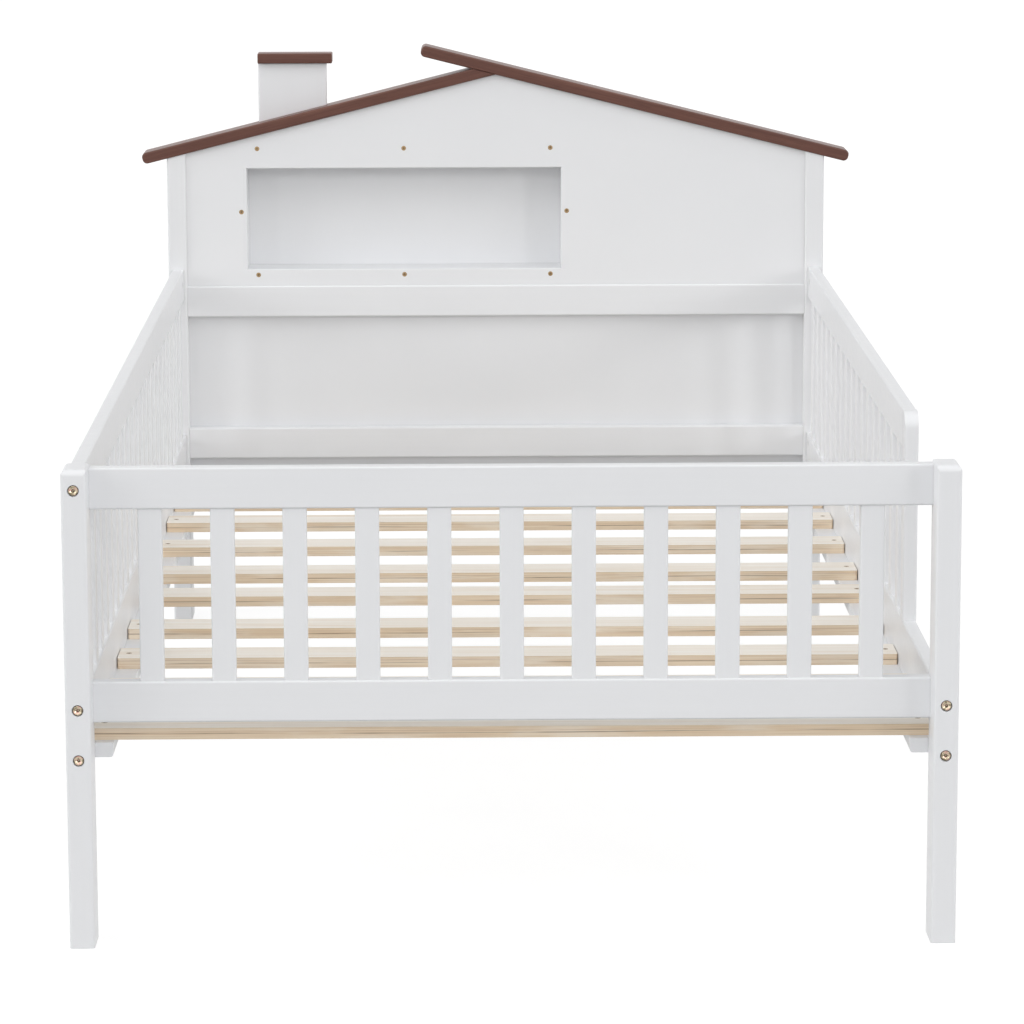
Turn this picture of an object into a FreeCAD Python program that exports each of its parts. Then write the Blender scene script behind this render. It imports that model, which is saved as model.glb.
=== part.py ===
import FreeCAD, Part
import math
import os

# House frame bed for a twin mattress. Sizes are in millimetres.
# While the pieces are made, x runs across the bed from its middle, y runs from the
# foot posts' front face to the headboard and z runs up from the floor.
# export() moves the finished pieces so that y is counted from the middle of the bed.

# ---- plan of the bed
INNER_WIDTH = 1003.0          # between the left and right posts
SIDE_LENGTH = 1913.0          # side rails, between the foot and head posts

# ---- posts
POST_WIDTH = 30.0
POST_DEPTH = 57.0
FOOT_POST_HEIGHT = 582.0
POST_TOP_RADIUS = 8.0         # foot posts' top, at the front, back and outer side
POST_TOP_INNER_RADIUS = 3.0
POST_EDGE_RADIUS = 3.5

# ---- foot end
FOOT_RAIL_THICKNESS = 20.0
FOOT_RAIL_HEIGHT = 50.0
FOOT_LOW_RAIL_BASE = 269.0
RAIL_DROP = 4.0               # from the foot posts' top down to the top rails
RAIL_EDGE_RADIUS = 2.5
FOOT_PICKET_COUNT = 11

# ---- pickets, alike at the foot end and in both guards
PICKET_WIDTH = 28.8
PICKET_THICKNESS = 15.0
PICKET_EDGE_RADIUS = 2.0

# ---- guards along the sides
GUARD_RAIL_THICKNESS = 18.0
GUARD_RAIL_HEIGHT = 50.0
LEFT_PICKET_COUNT = 22
RIGHT_PICKET_COUNT = 17
ENTRY_GAP = 374.0             # way in on the right, from the foot post to the end post
END_POST_DEPTH = 30.0
END_POST_CORNER_RADIUS = 21.0
END_POST_EDGE_RADIUS = 2.5

# ---- side rails, cleats and slats
SIDE_RAIL_THICKNESS = 18.0
SIDE_RAIL_HEIGHT = 90.0
SIDE_RAIL_BASE = 216.5
CLEAT_WIDTH = 28.0
CLEAT_HEIGHT = 18.0
CLEAT_RISE = 5.5              # cleat's underside above the side rail's underside
CLEAT_EDGE_RADIUS = 4.0
SLAT_COUNT = 10
SLAT_WIDTH = 65.0
SLAT_THICKNESS = 14.0
SLAT_END_GAP = 1.0            # between a slat's end and the side rail
SLAT_START_GAP = 15.0         # first slat behind the foot posts
SLAT_FINISH_GAP = 55.0        # last slat before the head posts
SLAT_CORNER_RADIUS = 3.0
# How far each slat was screwed down away from its even place.
SLAT_DRIFT = (0.0, 22.0, 8.0, -2.0, 19.0, -13.0, -4.0, 0.0, -20.0, 0.0)

# ---- headboard
HEAD_RAIL_THICKNESS = 20.0
HEAD_RAIL_HEIGHT = 50.0
HEAD_RAIL_SETBACK = 2.0       # rails' face behind the posts' face
MID_RAIL_DROP = 27.5          # mid rail's top below the guards' top
HEAD_LOW_RAIL_BASE = 267.5
LOWER_PANEL_THICKNESS = 12.0
LOWER_PANEL_LAP = 30.0        # past the inner edge of the mid rail, and below the low rail
HOUSE_PANEL_THICKNESS = 15.0
HOUSE_PANEL_SETBACK = 5.5     # panel's face behind the posts' face
PANEL_GROOVE_DEPTH = 8.0
PANEL_CLEARANCE = 0.2         # each side of a panel in its groove
WINDOW_WIDTH = 509.0
WINDOW_HEIGHT = 164.0
WINDOW_INSET = 98.3           # window's left edge from the left post
WINDOW_SILL_RISE = 27.2       # above the mid rail
WINDOW_EDGE_RADIUS = 1.5

# ---- niche box behind the window
NICHE_BOARD_THICKNESS = 18.0
NICHE_BOARD_DEPTH = 52.0
NICHE_HEADROOM = 23.0         # ceiling above the window's top edge
NICHE_BACK_THICKNESS = 5.0

# ---- roof and chimney
ROOF_SLOPE = 14.1             # degrees
RIDGE_RISE = 341.8            # from the mid rail's top to where the boards' undersides meet
ROOF_THICKNESS = 18.0
ROOF_FRONT_OVERHANG = 3.0
EAVE_REACH = 586.0            # down the slope from the ridge
RIDGE_LAP = 125.5             # right board past the ridge, over the left one
ROOF_END_RADIUS = 7.5
ROOF_EDGE_RADIUS = 2.5
CHIMNEY_WIDTH = 110.7
CHIMNEY_THICKNESS = 20.0
CHIMNEY_INSET = 173.2         # chimney's middle from the left post
CHIMNEY_RISE = 80.9           # above the roof, at the chimney's middle
CHIMNEY_BACK_SETBACK = 2.0    # chimney's back before the roof's back edge
CHIMNEY_EDGE_RADIUS = 3.0
CAP_WIDTH = 120.5
CAP_DEPTH = 40.0
CAP_THICKNESS = 16.5
CAP_SHIFT = 4.4               # the cap sits off the chimney's middle
CAP_EDGE_RADIUS = 2.0

# ---- connector bolts and barrel nuts
BOLT_DIAMETER = 6.0
BOLT_HOLE_CLEARANCE = 0.5
BOLT_HEAD_DIAMETER = 12.4
BOLT_HEAD_THICKNESS = 3.0
BOLT_HEAD_CLEARANCE = 0.8
BOLT_HEAD_RADIUS = 0.8        # round its rim
BOLT_SINK = 1.2               # head below the post's face
BOLT_KEY_WIDTH = 4.0          # across the flats of its socket
BOLT_KEY_DEPTH = 2.7
BOLT_DISH_DIAMETER = 8.4      # shallow dish round the socket
BOLT_DISH_DEPTH = 0.9
BOLT_SPREAD = 61.0            # between the two bolts in a side rail's end
GUARD_BOLT_DROP = 21.0        # below the guard rail's top
NUT_DIAMETER = 10.0
NUT_LENGTH = 14.0
NUT_CLEARANCE = 0.2
NUT_SETBACK = 30.0            # from the rail's end
BOLT_TIP_REACH = 4.0          # past the nut

# ---- dowels, glued in bores of their own size
RAIL_DOWEL_DIAMETER = 8.0
RAIL_DOWEL_DEPTH = 25.0       # into a rail's end
RAIL_DOWEL_SPREAD = 26.0
POST_WALL_TO_BOLT = 1.75      # wood left between a rail's dowel and a post's bolt hole
PICKET_DOWEL_DIAMETER = 6.0
PICKET_DOWEL_LENGTH = 30.0
ROOF_DOWEL_DIAMETER = 8.0
ROOF_DOWEL_LENGTH = 28.0
ROOF_DOWEL_REACH = 10.0       # into the roof board or the cap
PANEL_DOWEL_PITCH = 300.0
ROOF_DOWEL_FIRST = 150.0      # down the slope from the ridge
ROOF_DOWEL_PITCH = 200.0
CHIMNEY_DOWEL_SPREAD = 60.0
NICHE_DOWEL_DIAMETER = 6.0
NICHE_DOWEL_LENGTH = 20.0
NICHE_DOWEL_REACH = 9.0       # into the niche's side boards
NICHE_DOWEL_SPREAD = 26.0
DOWEL_END_GAP = 1.0           # glue room past each end of a dowel

# ---- wood screws
SCREW_DIAMETER = 4.0
SCREW_HEAD_DIAMETER = 7.6
SCREW_HEAD_HEIGHT = 2.4
SCREW_TIP_LENGTH = 4.0
SCREW_RECESS_WIDTH = 0.9
SCREW_RECESS_DEPTH = 1.4
SCREW_RECESS_SPAN = 4.2
SLAT_SCREW_LENGTH = 30.0
CLEAT_SCREW_LENGTH = 40.0
NICHE_SCREW_LENGTH = 35.0
NICHE_SCREW_INSET = 17.5      # end screws inside the window's sides
BACK_SCREW_LENGTH = 25.0
BACK_SCREW_PITCH = 300.0

# ---- two numbers for picking edges: the same place, and the same direction
SAME_PLACE = 0.01
SAME_DIRECTION = 0.9999

# ---- places that follow from the sizes above
X_AXIS = FreeCAD.Vector(1, 0, 0)
Y_AXIS = FreeCAD.Vector(0, 1, 0)
Z_AXIS = FreeCAD.Vector(0, 0, 1)
LEFT = -1
RIGHT = 1

half_inner = INNER_WIDTH / 2
post_centre_x = half_inner + POST_WIDTH / 2
head_front = POST_DEPTH + SIDE_LENGTH
head_back = head_front + POST_DEPTH
top_rail_top = FOOT_POST_HEIGHT - RAIL_DROP
foot_rail_centre_y = POST_DEPTH - FOOT_RAIL_THICKNESS / 2
guard_rail_base = top_rail_top - GUARD_RAIL_HEIGHT
side_rail_top = SIDE_RAIL_BASE + SIDE_RAIL_HEIGHT
side_rail_inner = post_centre_x - SIDE_RAIL_THICKNESS / 2
end_post_front = POST_DEPTH + ENTRY_GAP
end_post_back = end_post_front + END_POST_DEPTH
cleat_base = SIDE_RAIL_BASE + CLEAT_RISE
cleat_centre_x = side_rail_inner - CLEAT_WIDTH / 2
slat_base = cleat_base + CLEAT_HEIGHT
slat_top = slat_base + SLAT_THICKNESS
slat_half_length = side_rail_inner - SLAT_END_GAP

head_rail_front = head_front + HEAD_RAIL_SETBACK
head_rail_back = head_rail_front + HEAD_RAIL_THICKNESS
head_rail_centre_y = (head_rail_front + head_rail_back) / 2
mid_rail_top = top_rail_top - MID_RAIL_DROP
mid_rail_base = mid_rail_top - HEAD_RAIL_HEIGHT
ridge_height = mid_rail_top + RIDGE_RISE
lower_panel_back = head_rail_back + LOWER_PANEL_THICKNESS
lower_panel_base = HEAD_LOW_RAIL_BASE - LOWER_PANEL_LAP
lower_panel_top = mid_rail_base + LOWER_PANEL_LAP
house_panel_front = head_front + HOUSE_PANEL_SETBACK
house_panel_back = house_panel_front + HOUSE_PANEL_THICKNESS
house_panel_centre_y = (house_panel_front + house_panel_back) / 2
groove_bottom = half_inner + PANEL_GROOVE_DEPTH
panel_half_width = groove_bottom - PANEL_CLEARANCE

window_left = WINDOW_INSET - half_inner
window_right = window_left + WINDOW_WIDTH
window_centre = (window_left + window_right) / 2
window_base = mid_rail_top + WINDOW_SILL_RISE
window_top = window_base + WINDOW_HEIGHT
niche_left = window_left - NICHE_BOARD_THICKNESS
niche_right = window_right + NICHE_BOARD_THICKNESS
niche_ceiling = window_top + NICHE_HEADROOM
niche_base = window_base - NICHE_BOARD_THICKNESS
niche_top = niche_ceiling + NICHE_BOARD_THICKNESS
niche_bottom_centre = (niche_base + window_base) / 2
niche_top_centre = (niche_ceiling + niche_top) / 2
niche_boards_back = house_panel_back + NICHE_BOARD_DEPTH
niche_back = niche_boards_back + NICHE_BACK_THICKNESS

roof_front = head_front - ROOF_FRONT_OVERHANG
roof_back = head_back
slope = math.radians(ROOF_SLOPE)
roof_rise = ROOF_THICKNESS / math.cos(slope)
chimney_centre = CHIMNEY_INSET - half_inner
chimney_foot = ridge_height + chimney_centre * math.tan(slope) + roof_rise
chimney_top = chimney_foot + CHIMNEY_RISE
chimney_back = roof_back - CHIMNEY_BACK_SETBACK
chimney_centre_y = chimney_back - CHIMNEY_THICKNESS / 2

post_dowel_depth = POST_WIDTH / 2 - BOLT_DIAMETER / 2 - BOLT_HOLE_CLEARANCE / 2 - POST_WALL_TO_BOLT
bolt_length = POST_DEPTH - BOLT_SINK + NUT_SETBACK + NUT_DIAMETER / 2 + BOLT_TIP_REACH
overall_length = max(niche_back, head_back)


# ---- small helpers
def box(x_range, y_range, z_range):
    """A block between two x, two y and two z values."""
    corner = FreeCAD.Vector(x_range[0], y_range[0], z_range[0])
    return Part.makeBox(x_range[1] - x_range[0], y_range[1] - y_range[0], z_range[1] - z_range[0], corner)


def about(centre, size):
    """The two ends of a length that lies evenly about a centre."""
    return (centre - size / 2, centre + size / 2)


def side_range(side, near, far):
    """The x range between two distances from the bed's middle, on the left or right side."""
    return tuple(sorted((side * near, side * far)))


def edges_along(shape, axis):
    """The straight edges of a shape that run along one axis."""
    found = []
    for edge in shape.Edges:
        run = edge.Vertexes[-1].Point - edge.Vertexes[0].Point
        if run.Length > 0 and abs(run.dot(axis)) > SAME_DIRECTION * run.Length:
            found.append(edge)
    return found


def rounded_along(shape, axis, radius):
    """The shape with every edge along one axis rounded."""
    return shape.makeFillet(radius, edges_along(shape, axis))


def even_places(start, stop, count, width):
    """Centres of equal pieces that leave equal gaps between two faces."""
    gap = (stop - start - count * width) / (count + 1)
    return [start + gap + width / 2 + index * (gap + width) for index in range(count)]


def export(node, pieces):
    """Write one node, moved so that y = 0 is the middle of the bed's length."""
    shape = Part.makeCompound(pieces) if len(pieces) > 1 else pieces[0].copy()
    shape.translate(FreeCAD.Vector(0, -overall_length / 2, 0))
    shape.exportStep(f"parts/{node}.step")


# ---- dowels: each is (start point, direction, length, diameter)
def dowel_solid(dowel):
    start, direction, length, diameter = dowel
    return Part.makeCylinder(diameter / 2, length, start, direction)


def dowel_bore(dowel):
    start, direction, length, diameter = dowel
    far_start = start - direction * DOWEL_END_GAP
    return Part.makeCylinder(diameter / 2, length + 2 * DOWEL_END_GAP, far_start, direction)


def bored(shape, dowels):
    """The shape with a bore for each dowel."""
    return shape.cut(Part.makeCompound([dowel_bore(dowel) for dowel in dowels]))


def rail_end_dowels(face, direction, centre_z):
    """Two dowels across a joint face; direction points out of the rail's end."""
    dowels = []
    for z in about(centre_z, RAIL_DOWEL_SPREAD):
        start = FreeCAD.Vector(face.x, face.y, z) - direction * RAIL_DOWEL_DEPTH
        dowels.append((start, direction, RAIL_DOWEL_DEPTH + post_dowel_depth, RAIL_DOWEL_DIAMETER))
    return dowels


def cross_rail_dowels(side, centre_y, base, height):
    """Dowels between a foot or head rail and the post on one side."""
    face = FreeCAD.Vector(side * half_inner, centre_y, 0)
    return rail_end_dowels(face, X_AXIS * side, base + height / 2)


def end_post_rail_dowels():
    """Dowels between the right guard's top rail and its end post."""
    face = FreeCAD.Vector(post_centre_x, end_post_back, 0)
    return rail_end_dowels(face, Y_AXIS * -1, guard_rail_base + GUARD_RAIL_HEIGHT / 2)


def upright_dowels(points, z):
    """Picket dowels that stand across a level joint, half in each piece."""
    dowels = []
    for x, y in points:
        start = FreeCAD.Vector(x, y, z - PICKET_DOWEL_LENGTH / 2)
        dowels.append((start, Z_AXIS, PICKET_DOWEL_LENGTH, PICKET_DOWEL_DIAMETER))
    return dowels


def slope_direction(side):
    """Down the roof on one side."""
    return FreeCAD.Vector(side * math.cos(slope), 0, -math.sin(slope))


def slope_normal(side):
    """Square to the roof on one side, pointing up."""
    return FreeCAD.Vector(side * math.sin(slope), 0, math.cos(slope))


def underside_height(x):
    """Height of the roof's underside above a point across the bed."""
    return ridge_height - abs(x) * math.tan(slope)


def roof_dowel(side, x, y):
    """A dowel from a post or the panel up into the roof board."""
    joint = FreeCAD.Vector(x, y, underside_height(x))
    start = joint - slope_normal(side) * (ROOF_DOWEL_LENGTH - ROOF_DOWEL_REACH)
    return (start, slope_normal(side), ROOF_DOWEL_LENGTH, ROOF_DOWEL_DIAMETER)


def post_roof_dowel(side):
    return roof_dowel(side, side * post_centre_x, (head_front + head_back) / 2)


def panel_roof_dowels(side):
    dowels = []
    for down in (ROOF_DOWEL_FIRST, ROOF_DOWEL_FIRST + ROOF_DOWEL_PITCH):
        dowels.append(roof_dowel(side, side * down * math.cos(slope), house_panel_centre_y))
    return dowels


def panel_foot_dowels():
    """Dowels between the mid rail and the house panel that stands on it."""
    base = mid_rail_top - ROOF_DOWEL_LENGTH / 2
    dowels = []
    for x in (-PANEL_DOWEL_PITCH, 0, PANEL_DOWEL_PITCH):
        start = FreeCAD.Vector(x, house_panel_centre_y, base)
        dowels.append((start, Z_AXIS, ROOF_DOWEL_LENGTH, ROOF_DOWEL_DIAMETER))
    return dowels


def chimney_dowels():
    """Dowels from the left roof board up into the chimney, square to the slope."""
    dowels = []
    for x in about(chimney_centre, CHIMNEY_DOWEL_SPREAD):
        under = FreeCAD.Vector(x, chimney_centre_y, underside_height(x))
        start = under + slope_normal(LEFT) * (ROOF_THICKNESS - ROOF_DOWEL_REACH)
        dowels.append((start, slope_normal(LEFT), ROOF_DOWEL_LENGTH, ROOF_DOWEL_DIAMETER))
    return dowels


def cap_dowels():
    """Dowels from the chimney up into its cap."""
    base = chimney_top + ROOF_DOWEL_REACH - ROOF_DOWEL_LENGTH
    dowels = []
    for x in about(chimney_centre, CHIMNEY_DOWEL_SPREAD):
        start = FreeCAD.Vector(x, chimney_centre_y, base)
        dowels.append((start, Z_AXIS, ROOF_DOWEL_LENGTH, ROOF_DOWEL_DIAMETER))
    return dowels


def niche_dowels(side):
    """Dowels from one side board into the ends of the niche's bottom and top boards."""
    start_x = window_centre + side * (WINDOW_WIDTH / 2 + NICHE_DOWEL_REACH)
    dowels = []
    for y in about(house_panel_back + NICHE_BOARD_DEPTH / 2, NICHE_DOWEL_SPREAD):
        for z in (niche_bottom_centre, niche_top_centre):
            start = FreeCAD.Vector(start_x, y, z)
            dowels.append((start, X_AXIS * -side, NICHE_DOWEL_LENGTH, NICHE_DOWEL_DIAMETER))
    return dowels


# ---- wood screws: each is (point at the head's face, direction of the tip, length)
def screw_body(length):
    """A countersunk screw at the origin, head up and tip down, with no recess."""
    head_radius = SCREW_HEAD_DIAMETER / 2
    shank_radius = SCREW_DIAMETER / 2
    straight = length - SCREW_HEAD_HEIGHT - SCREW_TIP_LENGTH
    down = Z_AXIS * -1
    neck = down * SCREW_HEAD_HEIGHT
    tip = down * (SCREW_HEAD_HEIGHT + straight)
    head = Part.makeCone(head_radius, shank_radius, SCREW_HEAD_HEIGHT, FreeCAD.Vector(), down)
    shank = Part.makeCylinder(shank_radius, straight, neck, down)
    point = Part.makeCone(shank_radius, 0, SCREW_TIP_LENGTH, tip, down)
    return head.fuse([shank, point]).removeSplitter()


def screw_recess():
    """The cross in a screw's head."""
    depth = (-SCREW_RECESS_DEPTH, SCREW_RECESS_DEPTH)
    arm = about(0, SCREW_RECESS_SPAN)
    slot = about(0, SCREW_RECESS_WIDTH)
    return box(arm, slot, depth).fuse(box(slot, arm, depth))


def placed(shape, point, direction):
    """A copy of a shape made at the origin with its tip down, set at a point with its tip along direction."""
    copy = shape.copy()
    turn = FreeCAD.Rotation(Z_AXIS * -1, direction)
    copy.Placement = FreeCAD.Placement(point, turn)
    return copy


def screw_solids(screws):
    """Separate screws of one length."""
    pattern = screw_body(screws[0][2]).cut(screw_recess())
    return [placed(pattern, point, direction) for point, direction, length in screws]


def screwed(shape, screws):
    """The shape with the hole that each screw makes for itself."""
    pattern = screw_body(screws[0][2])
    holes = [placed(pattern, point, direction) for point, direction, length in screws]
    return shape.cut(Part.makeCompound(holes))


def slat_front(index):
    """Front edge of one slat."""
    first = POST_DEPTH + SLAT_START_GAP
    last = head_front - SLAT_FINISH_GAP - SLAT_WIDTH
    pitch = (last - first) / (SLAT_COUNT - 1)
    drift = SLAT_DRIFT[index] if index < len(SLAT_DRIFT) else 0.0
    return first + index * pitch + drift


def slat_screws(index):
    """The two screws that hold one slat to the cleats."""
    y = slat_front(index) + SLAT_WIDTH / 2
    screws = []
    for side in (LEFT, RIGHT):
        point = FreeCAD.Vector(side * cleat_centre_x, y, slat_top)
        screws.append((point, Z_AXIS * -1, SLAT_SCREW_LENGTH))
    return screws


def cleat_screws(side):
    """Screws through one cleat into its side rail, in every second gap between slats."""
    inner_face = side * (side_rail_inner - CLEAT_WIDTH)
    z = cleat_base + CLEAT_HEIGHT / 2
    screws = []
    for index in range(0, SLAT_COUNT - 1, 2):
        y = (slat_front(index) + SLAT_WIDTH + slat_front(index + 1)) / 2
        screws.append((FreeCAD.Vector(inner_face, y, z), X_AXIS * side, CLEAT_SCREW_LENGTH))
    return screws


def niche_level_screws(z):
    """Screws through the house panel into the niche's bottom or top board."""
    half_span = WINDOW_WIDTH / 2 - NICHE_SCREW_INSET
    screws = []
    for x in (window_centre - half_span, window_centre, window_centre + half_span):
        screws.append((FreeCAD.Vector(x, house_panel_front, z), Y_AXIS, NICHE_SCREW_LENGTH))
    return screws


def niche_bottom_screws():
    return niche_level_screws(niche_bottom_centre)


def niche_top_screws():
    return niche_level_screws(niche_top_centre)


def niche_side_screw(side):
    x = window_centre + side * (WINDOW_WIDTH + NICHE_BOARD_THICKNESS) / 2
    point = FreeCAD.Vector(x, house_panel_front, (window_base + niche_ceiling) / 2)
    return (point, Y_AXIS, NICHE_SCREW_LENGTH)


def niche_back_screws(z):
    """Screws through the niche's back board into its bottom or top board."""
    half_span = WINDOW_WIDTH / 2 - NICHE_SCREW_INSET
    screws = []
    for x in (window_centre - half_span, window_centre, window_centre + half_span):
        screws.append((FreeCAD.Vector(x, niche_back, z), Y_AXIS * -1, BACK_SCREW_LENGTH))
    return screws


def lower_panel_screws(z):
    """Screws through the lower panel's back into a head rail."""
    screws = []
    for x in (-BACK_SCREW_PITCH, 0, BACK_SCREW_PITCH):
        screws.append((FreeCAD.Vector(x, lower_panel_back, z), Y_AXIS * -1, BACK_SCREW_LENGTH))
    return screws


def mid_rail_back_screws():
    return lower_panel_screws(mid_rail_base + LOWER_PANEL_LAP / 2)


def low_rail_back_screws():
    return lower_panel_screws(HEAD_LOW_RAIL_BASE + HEAD_RAIL_HEIGHT / 2)


# ---- connector bolts: each is (point at the post's face, direction of the tip)
def side_bolt_heights():
    return about(SIDE_RAIL_BASE + SIDE_RAIL_HEIGHT / 2, BOLT_SPREAD)


def guard_bolt_height():
    return top_rail_top - GUARD_BOLT_DROP


def foot_bolts(side):
    """Bolts through one foot post; the right guard stops short of it."""
    heights = list(side_bolt_heights())
    if side == LEFT:
        heights.append(guard_bolt_height())
    return [(FreeCAD.Vector(side * post_centre_x, 0, z), Y_AXIS) for z in heights]


def head_bolts(side):
    """Bolts through one head post, from behind."""
    heights = list(side_bolt_heights()) + [guard_bolt_height()]
    return [(FreeCAD.Vector(side * post_centre_x, head_back, z), Y_AXIS * -1) for z in heights]


def all_bolts():
    return foot_bolts(LEFT) + foot_bolts(RIGHT) + head_bolts(LEFT) + head_bolts(RIGHT)


def bolt_solid(bolt):
    point, direction = bolt
    head_face = point + direction * BOLT_SINK
    head = Part.makeCylinder(BOLT_HEAD_DIAMETER / 2, BOLT_HEAD_THICKNESS, head_face, direction)
    rim = [edge for edge in head.Edges
           if abs((edge.CenterOfMass - head_face).dot(direction)) < SAME_PLACE]
    head = head.makeFillet(BOLT_HEAD_RADIUS, rim)
    shank = Part.makeCylinder(BOLT_DIAMETER / 2, bolt_length, head_face, direction)
    across_corners = BOLT_KEY_WIDTH / math.cos(math.pi / 6)
    corners = []
    for turn in range(7):
        angle = turn * math.pi / 3
        reach = across_corners / 2
        corners.append(head_face + FreeCAD.Vector(reach * math.sin(angle), 0, reach * math.cos(angle)))
    socket = Part.Face(Part.makePolygon(corners)).extrude(direction * BOLT_KEY_DEPTH)
    dish = Part.makeCone(BOLT_DISH_DIAMETER / 2, across_corners / 2, BOLT_DISH_DEPTH, head_face, direction)
    return head.fuse(shank).removeSplitter().cut(dish).cut(socket)


def bolt_hole(bolt):
    """The hole for a bolt through the post and into the rail, with the seat for its head."""
    point, direction = bolt
    seat_radius = BOLT_HEAD_DIAMETER / 2 + BOLT_HEAD_CLEARANCE
    seat = Part.makeCylinder(seat_radius, BOLT_SINK + BOLT_HEAD_THICKNESS, point, direction)
    length = BOLT_SINK + bolt_length + BOLT_HOLE_CLEARANCE
    bore = Part.makeCylinder((BOLT_DIAMETER + BOLT_HOLE_CLEARANCE) / 2, length, point, direction)
    return seat.fuse(bore)


def nut_centre(bolt):
    point, direction = bolt
    return point + direction * (POST_DEPTH + NUT_SETBACK)


def nut_solid(bolt):
    """The barrel nut that one bolt draws up, lying across the rail."""
    point, direction = bolt
    centre = nut_centre(bolt)
    start = centre - X_AXIS * (NUT_LENGTH / 2)
    barrel = Part.makeCylinder(NUT_DIAMETER / 2, NUT_LENGTH, start, X_AXIS)
    thread_start = centre - direction * NUT_DIAMETER
    thread = Part.makeCylinder(BOLT_DIAMETER / 2, 2 * NUT_DIAMETER, thread_start, direction)
    return barrel.cut(thread)


def nut_hole(bolt, side, rail_thickness):
    """The blind hole for a barrel nut, open at the rail's inner face."""
    far_end = nut_centre(bolt) + X_AXIS * (side * NUT_LENGTH / 2)
    depth = (NUT_LENGTH + rail_thickness) / 2
    radius = NUT_DIAMETER / 2 + NUT_CLEARANCE
    return Part.makeCylinder(radius, depth, far_end, X_AXIS * -side)


def bolted(rail, bolts, side, rail_thickness):
    """A rail with the bores for its bolts and their nuts."""
    tools = [bolt_hole(bolt) for bolt in bolts]
    tools += [nut_hole(bolt, side, rail_thickness) for bolt in bolts]
    return rail.cut(Part.makeCompound(tools))


# ---- foot end
def foot_picket_points():
    return [(x, foot_rail_centre_y)
            for x in even_places(-half_inner, half_inner, FOOT_PICKET_COUNT, PICKET_WIDTH)]


def foot_rail_dowels(side):
    base_low = FOOT_LOW_RAIL_BASE
    base_top = top_rail_top - FOOT_RAIL_HEIGHT
    low = cross_rail_dowels(side, foot_rail_centre_y, base_low, FOOT_RAIL_HEIGHT)
    return low + cross_rail_dowels(side, foot_rail_centre_y, base_top, FOOT_RAIL_HEIGHT)


def foot_post(side):
    shape = box(side_range(side, half_inner, half_inner + POST_WIDTH), (0, POST_DEPTH),
                (0, FOOT_POST_HEIGHT))
    shape = rounded_along(shape, Z_AXIS, POST_EDGE_RADIUS)
    shape = shape.common(post_crown(side))
    shape = shape.cut(Part.makeCompound([bolt_hole(bolt) for bolt in foot_bolts(side)]))
    return bored(shape, foot_rail_dowels(side))


def post_crown(side):
    """A block over the foot post's outline with its top edges rounded, the inner one less."""
    crown = box(side_range(side, half_inner, half_inner + POST_WIDTH), (0, POST_DEPTH),
                (0, FOOT_POST_HEIGHT))
    inner = []
    rim = []
    for edge in crown.Edges:
        middle = edge.CenterOfMass
        if middle.z < FOOT_POST_HEIGHT - SAME_PLACE:
            continue
        if abs(middle.x) < half_inner + SAME_PLACE:
            inner.append(edge)
        else:
            rim.append(edge)
    return crown.makeFillet(POST_TOP_INNER_RADIUS, inner).common(crown.makeFillet(POST_TOP_RADIUS, rim))


def foot_rail(base, joint_z):
    """A rail between the foot posts; its pickets' dowels cross it at joint_z."""
    y_range = about(foot_rail_centre_y, FOOT_RAIL_THICKNESS)
    rail = box((-half_inner, half_inner), y_range, (base, base + FOOT_RAIL_HEIGHT))
    rail = rounded_along(rail, X_AXIS, RAIL_EDGE_RADIUS)
    dowels = upright_dowels(foot_picket_points(), joint_z)
    for side in (LEFT, RIGHT):
        dowels += cross_rail_dowels(side, foot_rail_centre_y, base, FOOT_RAIL_HEIGHT)
    return bored(rail, dowels)


def picket(base, top, along_x):
    """A picket on the line x = y = 0, its width along x or along y."""
    wide = about(0, PICKET_WIDTH)
    thin = about(0, PICKET_THICKNESS)
    x_range, y_range = (wide, thin) if along_x else (thin, wide)
    shape = rounded_along(box(x_range, y_range, (base, top)), Z_AXIS, PICKET_EDGE_RADIUS)
    return bored(shape, upright_dowels([(0, 0)], base) + upright_dowels([(0, 0)], top))


def copies(shape, points):
    """A copy of a shape at each x, y point."""
    pieces = []
    for x, y in points:
        piece = shape.copy()
        piece.translate(FreeCAD.Vector(x, y, 0))
        pieces.append(piece)
    return pieces


def foot_end():
    low_top = FOOT_LOW_RAIL_BASE + FOOT_RAIL_HEIGHT
    top_base = top_rail_top - FOOT_RAIL_HEIGHT
    export("foot_post_left", [foot_post(LEFT)])
    export("foot_post_right", [foot_post(RIGHT)])
    export("foot_low_rail", [foot_rail(FOOT_LOW_RAIL_BASE, low_top)])
    export("foot_top_rail", [foot_rail(top_base, top_base)])
    pickets = copies(picket(low_top, top_base, True), foot_picket_points())
    for number, piece in enumerate(pickets, start=1):
        export(f"foot_picket_{number:02d}", [piece])
    dowels = upright_dowels(foot_picket_points(), low_top)
    dowels += upright_dowels(foot_picket_points(), top_base)
    return dowels


# ---- guards and side rails
def guard_picket_points(side):
    start = POST_DEPTH if side == LEFT else end_post_back
    count = LEFT_PICKET_COUNT if side == LEFT else RIGHT_PICKET_COUNT
    places = even_places(start, head_front, count, PICKET_WIDTH)
    return [(side * post_centre_x, y) for y in places]


def end_post_points():
    """Two dowels under the right guard's end post."""
    centre = (end_post_front + end_post_back) / 2
    return [(post_centre_x, y) for y in about(centre, END_POST_DEPTH / 2)]


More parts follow.
